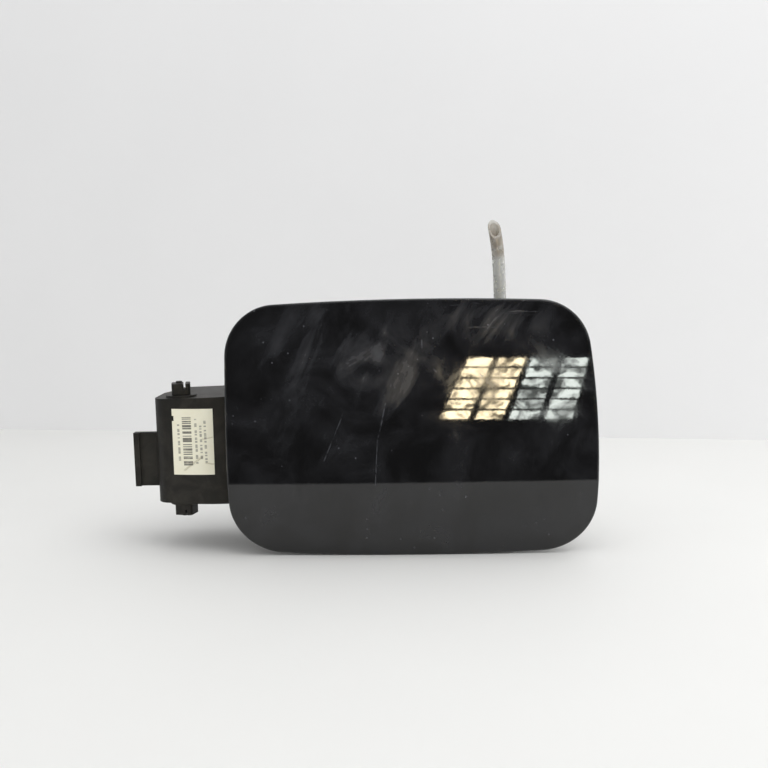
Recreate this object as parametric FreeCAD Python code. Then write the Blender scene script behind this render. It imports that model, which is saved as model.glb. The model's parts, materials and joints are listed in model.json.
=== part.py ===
import FreeCAD, Part
import math
import os

V = FreeCAD.Vector

# A fuel filler flap unit, in millimetres. x runs along the flap, y goes back from the flap's crease
# and z goes up from the surface that the unit stands on.

# Flap outline, seen from the front
flap_left = -92.5
flap_right_top = 86.5
flap_right_bottom = 90.3
flap_top = 127.4
flap_bottom = 3.0
top_bulge = 2.8
bottom_bulge = 3.0
left_bulge = 0.8
right_bulge = 4.6
top_corner_radius = 26.0
bottom_corner_radius = 28.0

# Flap section
crease_height = 38.5
crease_radius = 3.0
upper_setback = 9.0
upper_bulge = 1.3
lower_setback = 7.6
lower_bulge = 0.7
crown_radius = 2000.0
sheet = 0.9
inner_sheet = 0.7
bond_gap = 0.05
hem_width = 8.0
hem_edge_round = 0.8
pan_floor = 10.6
pan_inset = 17.0
pan_slope = 5.0
bead_depth = 1.4
bead_width = 9.0
bead_start_x = -20.0
bead_end_x = 24.0
bead_low_z = 34.0
bead_high_z = 80.0
section_spare = 6.0
section_back = 40.0
crown_sweep = 8.0

# Hinge
pivot_y = 25.5
pin_radius = 2.0
pin_clearance = 0.05
barrel_radius = 5.5
neck_radius = 35.0
arm_thickness = 4.0
arm_height = 38.0
arm_rib_height = 3.0
web_angle = 86.0
neck_end_angle = -19.0
pad_end_x = -36.0
pad_thickness = 3.5
pad_rib_height = 8.0
arm_screw_radius = 2.0
arm_screw_xs = (-60.0, -42.0)
arm_screw_rise = 9.5
barrel_end_float = 0.4
screw_head_radius = 4.0
screw_head_height = 2.4
screw_head_bevel = 0.4
screw_clearance = 0.1
screw_tip_room = 0.3

# Bowl and hinge pocket, one moulding
wall = 2.2
rim_front = 16.0
rim_inset = 6.0
pot_left = -84.0
pot_right = 58.0
pot_bottom = 13.0
pot_top = 115.0
pot_corner = 16.0
pot_draft = 3.0
pot_back = 64.0
pocket_left = -133.7
pivot_from_side = 13.7
pocket_end = -93.0
pocket_bottom = 24.8
pocket_top = 82.3
pocket_corner = 7.0
pocket_taper = 1.5
pocket_slant_start = 18.0
pocket_heel = 5.0
pocket_bow = 2.0
window_right = -68.0
tab_width = 12.5
tab_bottom = 33.9
tab_top = 62.4
tab_thickness = 3.0
lower_hook_x = 45.0
upper_hook_x = 20.0
hook_width = 11.0
hook_front = 26.0
hook_length = 14.0
upper_hook_rise = 6.0
bowl_screw_x = 38.0
bowl_screw_spacing = 78.0
bowl_screw_radius = 3.25
rib_height = 2.5
rib_thickness = 2.0
boss_radius = 6.5
gusset_length = 14.0
gusset_rise = 7.0
upper_gussets = (-62.0, -40.0, 0.0, 33.0)
lower_gussets = (-66.0, -22.0, 0.0, 22.0)

# Pivot plugs
plug_head = 9.5
plug_rise = 6.0
plug_shank_radius = 4.0
plug_slit = 1.2
plug_turn = 12.0
pivot_boss_radius = 8.0

# Leaf spring
spring_sheet = 0.6
spring_height = 14.0
spring_gap = 0.35
spring_seat = 16.0
spring_bow = 1.6
spring_bearing_angle = 150.0

# Rubber buffers
buffer_from_right = 9.0
upper_buffer_drop = 23.4
lower_buffer_rise = 21.0
buffer_stem = 2.5
buffer_head = 5.5
buffer_gap = 0.35
buffer_bevel = 0.35
buffer_catch = 1.2
buffer_bulb = 4.0
buffer_room = 4.0

# Cap holder
holder_x = 4.0
holder_z = 104.0
holder_width = 30.0
holder_reach = 16.0
holder_gap = 12.0
holder_base_low = 14.0
holder_base_high = 4.0
holder_shelf_drop = 9.0
holder_thickness = 2.5
holder_round = 5.0
holder_slot_start = 9.0

# Filler neck seal
neck_x = -8.0
neck_z = 64.0
neck_hole_radius = 33.0
seal_bore_radius = 26.0
seal_lip = 2.4
seal_collar_length = 9.0
seal_fold = 6.0
seal_flange = 3.5

# Lock
lock_y = 29.0
lock_z = 64.0
lock_pin_radius = 3.5
lock_travel = 10.0
bolt_overreach = 2.5
bolt_bevel = 1.5
bolt_tail = 14.0
lock_pad_x = 61.0
lock_pad_margin = 2.0
actuator_length = 25.0
actuator_depth = 30.0
actuator_height = 46.0
actuator_screw_inset = 5.0
actuator_screw_head = 3.0
actuator_screw_head_height = 2.0
actuator_screw_reach = 2.0
actuator_bevel = 2.0
actuator_screw_radius = 1.6
boot_wall = 1.6
pin_room = 0.3
boot_depth = 4.5
boot_gap = 0.08
striker_x = 48.0
striker_thickness = 3.0
eye_clearance = 0.8
striker_foot = 18.0
striker_height = 22.0
striker_round = 2.5
striker_foot_thickness = 3.0
eye_margin = 4.5
striker_screw_radius = 1.8
striker_screw_head = 3.2

# Drain
nipple_x = 47.0
nipple_y = 37.0
nipple_radius = 2.2
drain_boss_radius = 4.4
nipple_rise = 6.0
nipple_bore = 1.3
hose_radius = 3.25
hose_wall = 1.0
hose_seat = 118.5
hose_route = [
    (47.0, 37.0, 118.5),
    (47.0, 37.0, 130.0),
    (46.7, 37.1, 143.0),
    (45.9, 37.3, 157.0),
    (43.7, 36.7, 168.5),
]
hose_cut_slope = 58.0

# Label
label_width = 21.5
label_height = 34.5
label_from_side = 21.1
label_z = 57.2
label_turn = 2.0
label_thickness = 0.15
label_gap = 0.1


def rounded_prism(x0, x1, z0, z1, radius, y0, y1):
    """A rounded rectangle seen from the front, drawn back from y0 to y1."""
    block = Part.makeBox(x1 - x0, y1 - y0, z1 - z0, V(x0, y0, z0))
    along = [e for e in block.Edges if abs(e.tangentAt(e.FirstParameter).y) > 0.99]
    return block.makeFillet(radius, along)


def rod(radius, start, direction, length):
    return Part.makeCylinder(radius, length, V(*start), V(*direction))


def rounded_rectangle(x0, x1, z0, z1, radius, y):
    """The wire of a rounded rectangle in the plane at y."""
    prism = rounded_prism(x0, x1, z0, z1, radius, y, y + 1.0)
    face = min(prism.Faces, key=lambda f: f.CenterOfMass.y)
    return face.OuterWire


def arc_centre(start, end, bulge):
    """Centre and radius of the arc from start to end that stands out by bulge, to the right of its run."""
    run = math.hypot(end[0] - start[0], end[1] - start[1])
    radius = (run * run / 4.0 + bulge * bulge) / (2.0 * bulge)
    inward = (-(end[1] - start[1]) / run, (end[0] - start[0]) / run)
    reach = radius - bulge
    middle = ((start[0] + end[0]) / 2.0, (start[1] + end[1]) / 2.0)
    return (middle[0] + inward[0] * reach, middle[1] + inward[1] * reach), radius


def rounding_centre(first, second, radius, near):
    """Centre of the circle of that radius that touches two arcs from inside, close to a point."""
    (centre, reach), (other, other_reach) = first, second
    far = math.hypot(other[0] - centre[0], other[1] - centre[1])
    a = reach - radius
    b = other_reach - radius
    along = (a * a - b * b + far * far) / (2.0 * far)
    aside = math.sqrt(a * a - along * along)
    unit = ((other[0] - centre[0]) / far, (other[1] - centre[1]) / far)
    foot = (centre[0] + unit[0] * along, centre[1] + unit[1] * along)
    both = [(foot[0] + s * unit[1] * aside, foot[1] - s * unit[0] * aside) for s in (1, -1)]
    return min(both, key=lambda c: math.hypot(c[0] - near[0], c[1] - near[1]))


def towards(centre, point, radius):
    """The point at that radius from the centre, on the way to a point."""
    run = math.hypot(point[0] - centre[0], point[1] - centre[1])
    share = radius / run
    return centre[0] + (point[0] - centre[0]) * share, centre[1] + (point[1] - centre[1]) * share


def halfway(centre, first, second, radius):
    """The middle of the arc about the centre between two of its points."""
    return towards(centre, ((first[0] + second[0]) / 2.0, (first[1] + second[1]) / 2.0), radius)


flap_corners = [
    (flap_left, flap_bottom),
    (flap_right_bottom, flap_bottom),
    (flap_right_top, flap_top),
    (flap_left, flap_top),
]
side_bulges = [bottom_bulge, right_bulge, top_bulge, left_bulge]
corner_radii = [bottom_corner_radius, bottom_corner_radius, top_corner_radius, top_corner_radius]
flap_sides = []
for i in range(4):
    flap_sides.append(arc_centre(flap_corners[i], flap_corners[(i + 1) % 4], side_bulges[i]))
corner_centres = []
for i in range(4):
    corner_centres.append(rounding_centre(flap_sides[i - 1], flap_sides[i], corner_radii[i], flap_corners[i]))


def flap_wire(inset, y):
    """The flap's outline in the plane at y, drawn in by inset: four shallow arcs and four corners."""

    def at(point):
        return V(point[0], y, point[1])

    edges = []
    for i in range(4):
        before, reach = flap_sides[i - 1]
        centre, radius = flap_sides[i]
        start = towards(before, corner_centres[i], reach - inset)
        end = towards(centre, corner_centres[i], radius - inset)
        middle = halfway(corner_centres[i], start, end, corner_radii[i] - inset)
        edges.append(Part.Arc(at(start), at(middle), at(end)).toShape())
        after = corner_centres[(i + 1) % 4]
        stop = towards(centre, after, radius - inset)
        middle = halfway(centre, end, stop, radius - inset)
        edges.append(Part.Arc(at(end), at(middle), at(stop)).toShape())
    return Part.Wire(edges)


def flap_prism(inset, y0, y1):
    """The flap's outline, drawn in by inset, from y0 back to y1."""
    return Part.Face(flap_wire(inset, y0)).extrude(V(0, y1 - y0, 0))


# Section of the flap's face: two shallow arcs that meet in a rounded crease, in (y, z)

flap_peak = flap_top + top_bulge
crease = (0.0, crease_height)
upper_centre, upper_radius = arc_centre((upper_setback, flap_peak), crease, upper_bulge)
lower_centre, lower_radius = arc_centre(crease, (lower_setback, 0.0), lower_bulge)
round_centre = rounding_centre(
    (upper_centre, upper_radius), (lower_centre, lower_radius), crease_radius, crease
)


def on_circle(centre, radius, z, depth):
    """The front point of a circle at height z, with the circle drawn in by depth."""
    r = radius - depth
    return centre[0] - math.sqrt(r * r - (z - centre[1]) ** 2)


def face_y(x, z, depth=0.0):
    """How far back the flap's face lies at x and z, drawn in by depth."""
    if z > crease_height:
        y = on_circle(upper_centre, upper_radius, z, depth)
    else:
        y = on_circle(lower_centre, lower_radius, z, depth)
    return crown_radius - math.sqrt((crown_radius - y) ** 2 - x * x)


def behind(depth):
    """All that lies more than depth behind the flap's face."""
    low = -section_spare
    high = flap_peak + section_spare
    upper = towards(upper_centre, round_centre, upper_radius - depth)
    lower = towards(lower_centre, round_centre, lower_radius - depth)
    middle_low = (low + lower[1]) / 2.0
    middle_high = (high + upper[1]) / 2.0

    def at(y, z):
        return V(0, y, z)

    start = at(on_circle(lower_centre, lower_radius, low, depth), low)
    end = at(on_circle(upper_centre, upper_radius, high, depth), high)
    tip = at(*halfway(round_centre, upper, lower, crease_radius - depth))
    lower_middle = at(on_circle(lower_centre, lower_radius, middle_low, depth), middle_low)
    upper_middle = at(on_circle(upper_centre, upper_radius, middle_high, depth), middle_high)
    edges = [
        Part.Arc(start, lower_middle, at(*lower)).toShape(),
        Part.Arc(at(*lower), tip, at(*upper)).toShape(),
        Part.Arc(at(*upper), upper_middle, end).toShape(),
        Part.LineSegment(end, at(section_back, high)).toShape(),
        Part.LineSegment(at(section_back, high), at(section_back, low)).toShape(),
        Part.LineSegment(at(section_back, low), start).toShape(),
    ]
    face = Part.Face(Part.Wire(edges))
    axis = V(0, crown_radius, 0)
    face.rotate(axis, V(0, 0, 1), -crown_sweep / 2.0)
    return face.revolve(axis, V(0, 0, 1), crown_sweep)


edge_depth = 2 * sheet + inner_sheet + 2 * bond_gap
panel_front = sheet + bond_gap
panel_back = panel_front + inner_sheet


def make_flap_outer_skin():
    """The painted sheet, folded round its whole edge into a flat hem."""
    body = flap_prism(0, -section_spare, section_back).common(behind(0))
    body = body.cut(behind(edge_depth))
    hem_mouth = flap_prism(hem_width, -section_spare, section_back).common(behind(sheet))
    groove = flap_prism(sheet, -section_spare, section_back).common(behind(sheet))
    groove = groove.cut(behind(edge_depth - sheet))
    body = body.cut(hem_mouth).cut(groove)
    rim = [e for e in body.Edges if is_front_rim(e)]
    return body.makeFillet(hem_edge_round, rim)


outline = flap_wire(0, 0)


def is_front_rim(edge):
    """True for the edges where the flap's face meets its outer side."""
    for i in range(5):
        part = edge.FirstParameter + (edge.LastParameter - edge.FirstParameter) * i / 4.0
        point = edge.valueAt(part)
        if abs(point.y - face_y(point.x, point.z)) > 0.35:
            return False
        if outline.distToShape(Part.Vertex(V(point.x, 0, point.z)))[0] > 0.01:
            return False
    return True


def pan_body(depth, floor, shrink):
    """The pressed pan: what lies behind depth, before the floor and inside the sloping sides."""
    mouth = flap_wire(pan_inset + shrink, 0.0)
    base = flap_wire(pan_inset + pan_slope + shrink, floor)
    return Part.makeLoft([mouth, base], True).common(behind(depth))


def make_flap_inner_panel():
    """The inner pressing: its edge lies in the hem and its middle is a pan with two long beads."""
    edge_inset = sheet + bond_gap
    body = flap_prism(edge_inset, -section_spare, section_back).common(behind(panel_front))
    body = body.cut(behind(panel_back))
    body = body.fuse(pan_body(panel_front, pan_floor + inner_sheet, 0.0))
    body = body.cut(pan_body(panel_front - bond_gap, pan_floor, inner_sheet))
    for z in (bead_low_z, bead_high_z):
        body = body.fuse(bead(z, pan_floor + inner_sheet, bead_width))
        body = body.cut(bead(z, pan_floor - 0.01, bead_width - 2 * inner_sheet))
    return body.removeSplitter()


def bead(z, base, width):
    """A long half-round stiffening bead on the pan's floor."""
    radius = width / 2.0
    drop = radius - bead_depth
    start = V(bead_start_x, base - drop, z)
    run = bead_end_x - bead_start_x
    body = Part.makeCylinder(radius, run, start, V(1, 0, 0))
    for x in (bead_start_x, bead_end_x):
        body = body.fuse(Part.makeSphere(radius, V(x, base - drop, z)))
    room = Part.makeBox(run + 4 * width, width, 2 * width, V(bead_start_x - 2 * width, base, z - width))
    return body.common(room)


pan_back = pan_floor + inner_sheet
pivot_x = pocket_left + pivot_from_side
label_x = pocket_left + label_from_side
pocket_middle = (pocket_bottom + pocket_top) / 2.0


def taper_at(x):
    """How much the pocket's floor and roof draw in at x."""
    return pocket_taper * (1.0 - (x - pocket_left) / (pot_left + pot_corner - pocket_left))


barrel_room = wall + taper_at(pivot_x - barrel_radius) + barrel_end_float
barrel_low = pocket_bottom + barrel_room
barrel_high = pocket_top - barrel_room


def around_pivot(radius, angle):
    turn = math.radians(angle)
    return V(pivot_x + radius * math.cos(turn), pivot_y + radius * math.sin(turn), 0)


def neck_band(inner, outer, low, high):
    """Part of a ring about the pivot, from the web's angle to the neck's end."""
    middle = (web_angle + neck_end_angle) / 2.0
    edges = [
        Part.Arc(
            around_pivot(outer, web_angle), around_pivot(outer, middle), around_pivot(outer, neck_end_angle)
        ).toShape(),
        Part.LineSegment(around_pivot(outer, neck_end_angle), around_pivot(inner, neck_end_angle)).toShape(),
        Part.Arc(
            around_pivot(inner, neck_end_angle), around_pivot(inner, middle), around_pivot(inner, web_angle)
        ).toShape(),
        Part.LineSegment(around_pivot(inner, web_angle), around_pivot(outer, web_angle)).toShape(),
    ]
    face = Part.Face(Part.Wire(edges))
    face.translate(V(0, 0, low))
    return face.extrude(V(0, 0, high - low))


arm_low = pocket_middle - arm_height / 2.0
arm_high = pocket_middle + arm_height / 2.0
neck_inner = neck_radius - arm_thickness / 2.0
neck_outer = neck_radius + arm_thickness / 2.0


def make_hinge_arm():
    """The goose-neck arm: barrel, web, round neck with edge ribs, and the pad screwed to the flap."""
    barrel = barrel_high - barrel_low
    body = Part.makeCylinder(barrel_radius, barrel, V(pivot_x, pivot_y, barrel_low))
    web = Part.makeBox(neck_outer, arm_thickness, arm_height, V(0, -arm_thickness / 2.0, arm_low))
    web.rotate(V(0, 0, 0), V(0, 0, 1), web_angle - arm_half_turn)
    web.translate(V(pivot_x, pivot_y, 0))
    round_room = Part.makeCylinder(neck_outer, arm_height, V(pivot_x, pivot_y, arm_low))
    body = body.fuse(web.common(round_room))
    body = body.fuse(neck_band(neck_inner, neck_outer, arm_low, arm_high))
    for low in (arm_low, arm_high - arm_thickness):
        body = body.fuse(neck_band(neck_inner - arm_rib_height, neck_outer, low, low + arm_thickness))
    pad_start = around_pivot(neck_inner, neck_end_angle).x
    pad = rounded_prism(pad_start, pad_end_x, arm_low, arm_high, 5.0, pan_back, pan_back + pad_thickness)
    block = Part.makeBox(arm_thickness + 2.0, pad_thickness, arm_height, V(pad_start, pan_back, arm_low))
    body = body.fuse(pad).fuse(block)
    for z in (arm_low, arm_high - arm_thickness):
        body = body.fuse(pad_rib(z))
    body = body.cut(rod(pin_radius + pin_clearance, (pivot_x, pivot_y, barrel_low), (0, 0, 1), barrel))
    for x, z in arm_screw_places():
        hole = rod(arm_screw_radius, (x, pan_back - 1.0, z), (0, 1, 0), pad_thickness + 2.0)
        body = body.cut(hole)
    return body.removeSplitter()


arm_half_turn = math.degrees(math.asin(arm_thickness / 2.0 / neck_outer))


def pad_rib(z):
    """A rib along the pad's edge that falls away from the neck."""
    top = pan_back + pad_thickness
    start = around_pivot(neck_radius, neck_end_angle).x
    corners = [
        V(start, pan_back, z),
        V(pad_end_x - 6.0, pan_back, z),
        V(pad_end_x - 6.0, top + 0.5, z),
        V(start + 6.0, top + pad_rib_height, z),
        V(start, top + pad_rib_height, z),
    ]
    face = Part.Face(Part.makePolygon(corners + corners[:1]))
    return face.extrude(V(0, 0, arm_thickness))


def arm_screw_places():
    places = []
    for x in arm_screw_xs:
        for rise in (-arm_screw_rise, arm_screw_rise):
            places.append((x, pocket_middle + rise))
    return places


def screw(x, y, z, radius, head_radius, length):
    """A pan-head screw whose head sits at y and whose shank goes forward."""
    body = rod(head_radius, (x, y, z), (0, 1, 0), screw_head_height)
    top = [e for e in body.Edges if abs(e.CenterOfMass.y - y - screw_head_height) < 1e-6]
    body = body.makeChamfer(screw_head_height * screw_head_bevel, top)
    return body.fuse(rod(radius, (x, y - length, z), (0, 1, 0), length))


def make_arm_screws():
    seat = pan_back + pad_thickness
    reach = pad_thickness - screw_tip_room
    screws = []
    for x, z in arm_screw_places():
        screws.append(screw(x, seat, z, arm_screw_radius - screw_clearance, screw_head_radius, reach))
    return Part.makeCompound(screws)


def pocket_profile(inset, y_back):
    """The hinge pocket seen from above: a bowed front, a round outer corner and a straight back."""
    left = pocket_left + inset
    front = rim_front + inset
    corner = pocket_corner - inset
    end = V(pocket_end, front + pocket_bow, 0)
    turn = V(left + corner, front + pocket_bow, 0)
    crown = V((pocket_end + left + corner) / 2.0, front, 0)
    side = V(left, front + pocket_bow + corner, 0)
    slant = V(left, pivot_y + pocket_slant_start, 0)
    heel = V(pivot_x - pocket_heel + inset, y_back, 0)
    bend = corner * (1.0 - math.sqrt(0.5))
    knee = V(left + bend, front + pocket_bow + bend, 0)
    edges = [
        Part.Arc(end, crown, turn).toShape(),
        Part.Arc(turn, knee, side).toShape(),
        Part.LineSegment(side, slant).toShape(),
        Part.LineSegment(slant, heel).toShape(),
        Part.LineSegment(heel, V(pot_left + pot_corner, y_back, 0)).toShape(),
        Part.LineSegment(V(pot_left + pot_corner, y_back, 0), V(pot_left + pot_corner, end.y, 0)).toShape(),
        Part.LineSegment(V(pot_left + pot_corner, end.y, 0), end).toShape(),
    ]
    return Part.Face(Part.Wire(edges))


def pocket_solid(inset):
    """The pocket's outer or inner form, a little taller towards the bowl."""
    face = pocket_profile(inset, pot_back + wall - inset)
    face.translate(V(0, 0, pocket_bottom + inset))
    body = face.extrude(V(0, 0, pocket_top - pocket_bottom - 2 * inset))
    reach = pot_left + pot_corner - pocket_left
    depth = pot_back + 2 * wall
    for level, sign in ((pocket_bottom + inset, -1), (pocket_top - inset, 1)):
        wedge = Part.makePolygon([
            V(pocket_left - 1.0, 0, level),
            V(pocket_left - 1.0, 0, level - sign * pocket_taper),
            V(pocket_left + reach, 0, level),
            V(pocket_left - 1.0, 0, level),
        ])
        body = body.cut(Part.Face(wedge).extrude(V(0, depth, 0)))
    return body


def pot_form(inset):
    """The bowl's drafted pot, from the rim back to its floor."""
    corner = pot_corner - inset
    front = rounded_rectangle(
        pot_left + inset, pot_right - inset, pot_bottom + inset, pot_top - inset, corner, rim_front
    )
    shrink = inset + pot_draft
    back = rounded_rectangle(
        pot_left + shrink, pot_right - shrink, pot_bottom + shrink, pot_top - shrink, corner,
        pot_back + wall - inset,
    )
    return Part.makeLoft([front, back], True)


def hook(x, level, sign, rise):
    """A snap hook on the pot's outside, with a sloping back and a square catch."""
    base = level - sign * 4.0
    corners = [
        V(0, hook_front, base),
        V(0, hook_front, level + sign * rise),
        V(0, hook_front + hook_length * 0.4, level + sign * rise),
        V(0, hook_front + hook_length, level + sign * rise * 0.35),
        V(0, hook_front + hook_length, base),
    ]
    face = Part.Face(Part.makePolygon(corners + corners[:1]))
    face.translate(V(x - hook_width / 2.0, 0, 0))
    return face.extrude(V(hook_width, 0, 0))


def gusset(x, level, sign):
    """A three-cornered web between the rim's back and the pot's wall."""
    back = rim_front + wall
    base = level - sign * wall * 0.7
    corners = [V(0, back, base), V(0, back, level + sign * gusset_rise), V(0, back + gusset_length, base)]
    face = Part.Face(Part.makePolygon(corners + corners[:1]))
    face.translate(V(x - rib_thickness / 2.0, 0, 0))
    return face.extrude(V(rib_thickness, 0, 0))


def back_rib(x0, z0, x1, z1):
    """A stiffening rib standing on the back of the pot's floor."""
    run = math.hypot(x1 - x0, z1 - z0)
    body = Part.makeBox(run, rib_height + 0.5, rib_thickness, V(0, 0, -rib_thickness / 2.0))
    body.rotate(V(0, 0, 0), V(0, 1, 0), -math.degrees(math.atan2(z1 - z0, x1 - x0)))
    body.translate(V(x0, pot_back + wall - 0.5, z0))
    return body


neck_ring_radius = neck_hole_radius + 4.0


def bowl_screw_places():
    half = bowl_screw_spacing / 2.0
    return [(bowl_screw_x, neck_z - half), (bowl_screw_x, neck_z + half)]


def back_ribs():
    """Ribs that run out from the neck ring to the pot's edges."""
    ribs = []
    edge = pot_draft + wall
    for turn in (35.0, 145.0, 215.0, 325.0):
        a = math.radians(turn)
        start = (neck_x + neck_ring_radius * math.cos(a), neck_z + neck_ring_radius * math.sin(a))
        if math.cos(a) > 0:
            end_x = pot_right - edge - 1.0
        else:
            end_x = pot_left + edge + pot_corner
        end_z = pot_top - edge - pot_corner if math.sin(a) > 0 else pot_bottom + edge + pot_corner
        ribs.append(back_rib(start[0], start[1], end_x, end_z))
    return ribs


def make_filler_bowl():
    """The moulded bowl with its rim, hinge pocket, tab, snap hooks, drain nipple and neck hole."""
    rim = flap_prism(rim_inset, rim_front, rim_front + wall)
    body = rim.fuse(pot_form(0)).fuse(pocket_solid(0))
    for side in (-1, 1):
        body = body.fuse(hook(side * lower_hook_x, pot_bottom + pot_draft, -1, pot_bottom + pot_draft))
        body = body.fuse(hook(side * upper_hook_x, pot_top - pot_draft, 1, upper_hook_rise + pot_draft))
    for x in upper_gussets:
        body = body.fuse(gusset(x, pot_top, 1))
    for x in lower_gussets:
        body = body.fuse(gusset(x, pot_bottom, -1))
    tab_end = pocket_left - tab_width
    tab_height = tab_top - tab_bottom
    tab = Part.makeBox(tab_width + wall, tab_thickness, tab_height, V(tab_end, tab_front, tab_bottom))
    ridge_front = tab_front - tab_thickness * 0.6
    ridge = Part.makeBox(tab_thickness, tab_thickness, tab_height, V(tab_end, ridge_front, tab_bottom))
    body = body.fuse(tab).fuse(ridge)
    lock_pad = Part.makeBox(
        lock_pad_x - pot_right + pot_corner, actuator_depth + 2 * lock_pad_margin,
        actuator_height + 2 * lock_pad_margin,
        V(pot_right - pot_corner, actuator_front - lock_pad_margin, actuator_bottom - lock_pad_margin),
    )
    body = body.fuse(lock_pad)
    drain_base = pot_top - pot_draft - wall - 1.0
    drain_boss = rod(drain_boss_radius, (nipple_x, nipple_y, drain_base), (0, 0, 1), hose_seat - drain_base)
    body = body.fuse(drain_boss)
    for low in (pocket_bottom, pocket_top - wall):
        body = body.fuse(rod(pivot_boss_radius, (pivot_x, pivot_y, low), (0, 0, 1), wall))
    body = body.cut(pot_form(wall))
    body = body.cut(pocket_room())
    body = body.fuse(rod(nipple_radius, (nipple_x, nipple_y, hose_seat - 1.0), (0, 0, 1), nipple_rise + 1.0))
    body = body.cut(rod(nipple_bore, (nipple_x, nipple_y, drain_base - 3.0), (0, 0, 1), 40.0))
    back = pot_back + wall
    ring = rod(neck_ring_radius, (neck_x, back - 0.5, neck_z), (0, 1, 0), rib_height + 0.5)
    ring = ring.cut(rod(neck_ring_radius - 2.0, (neck_x, back - 1.0, neck_z), (0, 1, 0), rib_height + 2.0))
    body = body.fuse(ring)
    for rib in back_ribs():
        body = body.fuse(rib)
    for x, z in bowl_screw_places():
        body = body.fuse(rod(boss_radius, (x, back - 0.5, z), (0, 1, 0), rib_height + 0.5))
    body = body.cut(rod(neck_hole_radius, (neck_x, pot_back - 1.0, neck_z), (0, 1, 0), 20.0))
    for x, z in bowl_screw_places():
        body = body.cut(rod(bowl_screw_radius, (x, pot_back - 1.0, z), (0, 1, 0), 20.0))
    body = body.cut(rod(lock_pin_radius + boot_wall, (0, lock_y, lock_z), (1, 0, 0), lock_pad_x + 5.0))
    for z in actuator_screw_levels():
        body = body.cut(rod(actuator_screw_radius, (pot_right, actuator_screw_y, z), (1, 0, 0), 10.0))
    for low in (pocket_bottom - 1.0, pocket_top - barrel_room):
        body = body.cut(rod(plug_shank_radius, (pivot_x, pivot_y, low), (0, 0, 1), barrel_room + 1.0))
    for x, z in buffer_places():
        body = body.cut(rod(buffer_stem, (x, rim_front - 1.0, z), (0, 1, 0), wall + 2.0))
    return body.removeSplitter()


def pocket_room():
    """The pocket's inside, with the window through the rim that the arm swings out of."""
    room = pocket_solid(wall)
    low = pocket_bottom + wall
    high = pocket_top - wall
    window = Part.makeBox(
        window_right - pocket_end, pot_back - rim_front + 1.0, high - low, V(pocket_end, rim_front - 1.0, low)
    )
    return room.fuse(window)


tab_front = pivot_y
actuator_front = lock_y - 8.0
actuator_bottom = lock_z - actuator_height / 2.0
actuator_screw_y = actuator_front + actuator_depth - 5.0


def actuator_screw_levels():
    return (actuator_bottom + actuator_screw_inset, actuator_bottom + actuator_height - actuator_screw_inset)


def buffer_places():
    x = flap_right_top - buffer_from_right
    return [(x, flap_top - upper_buffer_drop), (x, flap_bottom + lower_buffer_rise)]


def make_buffer(x, z):
    """A rubber stop: a domed head on the rim, a stem through it and a bulb behind."""
    steps = [(x + dx, z + dz) for dx in (-buffer_head, buffer_head) for dz in (-buffer_head, buffer_head)]
    nearest = max(face_y(px, pz, edge_depth) for px, pz in steps) + buffer_gap
    tip = max(nearest, pan_back - buffer_room)
    height = rim_front - tip
    head = rod(buffer_head, (x, tip, z), (0, 1, 0), height)
    front = [e for e in head.Edges if abs(e.CenterOfMass.y - tip) < 1e-6]
    head = head.makeChamfer(height * buffer_bevel, front)
    stem = rod(buffer_stem, (x, rim_front, z), (0, 1, 0), wall)
    bulb = Part.makeCone(
        buffer_stem + buffer_catch, buffer_stem / 2.0, buffer_bulb, V(x, rim_front + wall, z), V(0, 1, 0)
    )
    return head.fuse(stem).fuse(bulb)


def make_hinge_pin():
    low = pocket_bottom - plug_rise * 0.6
    high = pocket_top + plug_rise * 0.6
    return rod(pin_radius, (pivot_x, pivot_y, low), (0, 0, 1), high - low)


def make_pivot_plug(sign):
    """A square-headed plug in the pocket's wall that holds one end of the pin."""
    level = pocket_top if sign > 0 else pocket_bottom
    half = plug_head / 2.0
    head = Part.makeBox(plug_head, plug_head, plug_rise, V(-half, -half, 0))
    upright = [e for e in head.Edges if abs(e.tangentAt(e.FirstParameter).z) > 0.99]
    head = head.makeFillet(1.5, upright)
    slit_depth = plug_rise * 0.5
    slit_floor = plug_rise - slit_depth
    slit = Part.makeBox(plug_slit, plug_head * 2, slit_depth, V(half * 0.25, -plug_head, slit_floor))
    nub = Part.makeCylinder(1.6, 1.0, V(-half * 0.2, 0, plug_rise))
    head = head.cut(slit).fuse(nub)
    shank = Part.makeCylinder(plug_shank_radius, wall, V(0, 0, -wall))
    body = head.fuse(shank)
    body = body.cut(Part.makeCylinder(pin_radius, plug_rise * 0.6 + wall, V(0, 0, -wall)))
    body.rotate(V(0, 0, 0), V(0, 0, 1), plug_turn)
    if sign < 0:
        body.rotate(V(0, 0, 0), V(1, 0, 0), 180.0)
    body.translate(V(pivot_x, pivot_y, level))
    return body.removeSplitter()


def make_leaf_spring():
    """A bowed leaf that stands on the pocket's side wall and bears on the arm's barrel."""
    seat = pocket_left + wall + spring_sheet
    bearing = math.radians(spring_bearing_angle)
    reach = barrel_radius + spring_gap

    def bow(offset):
        return [
            V(seat - offset, pivot_y + spring_seat, 0),
            V(seat + spring_bow - offset, pivot_y + spring_seat * 0.55, 0),
            V(pivot_x + reach * math.cos(bearing) - offset, pivot_y + reach * math.sin(bearing), 0),
        ]

    outer = bow(0.0)
    inner = bow(spring_sheet)
    edges = [
        Part.Arc(outer[0], outer[1], outer[2]).toShape(),
        Part.LineSegment(outer[2], inner[2]).toShape(),
        Part.Arc(inner[2], inner[1], inner[0]).toShape(),
        Part.LineSegment(inner[0], outer[0]).toShape(),
    ]
    face = Part.Face(Part.Wire(edges))
    face.translate(V(0, 0, pocket_middle - spring_height / 2.0))
    return face.extrude(V(0, 0, spring_height))


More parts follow.
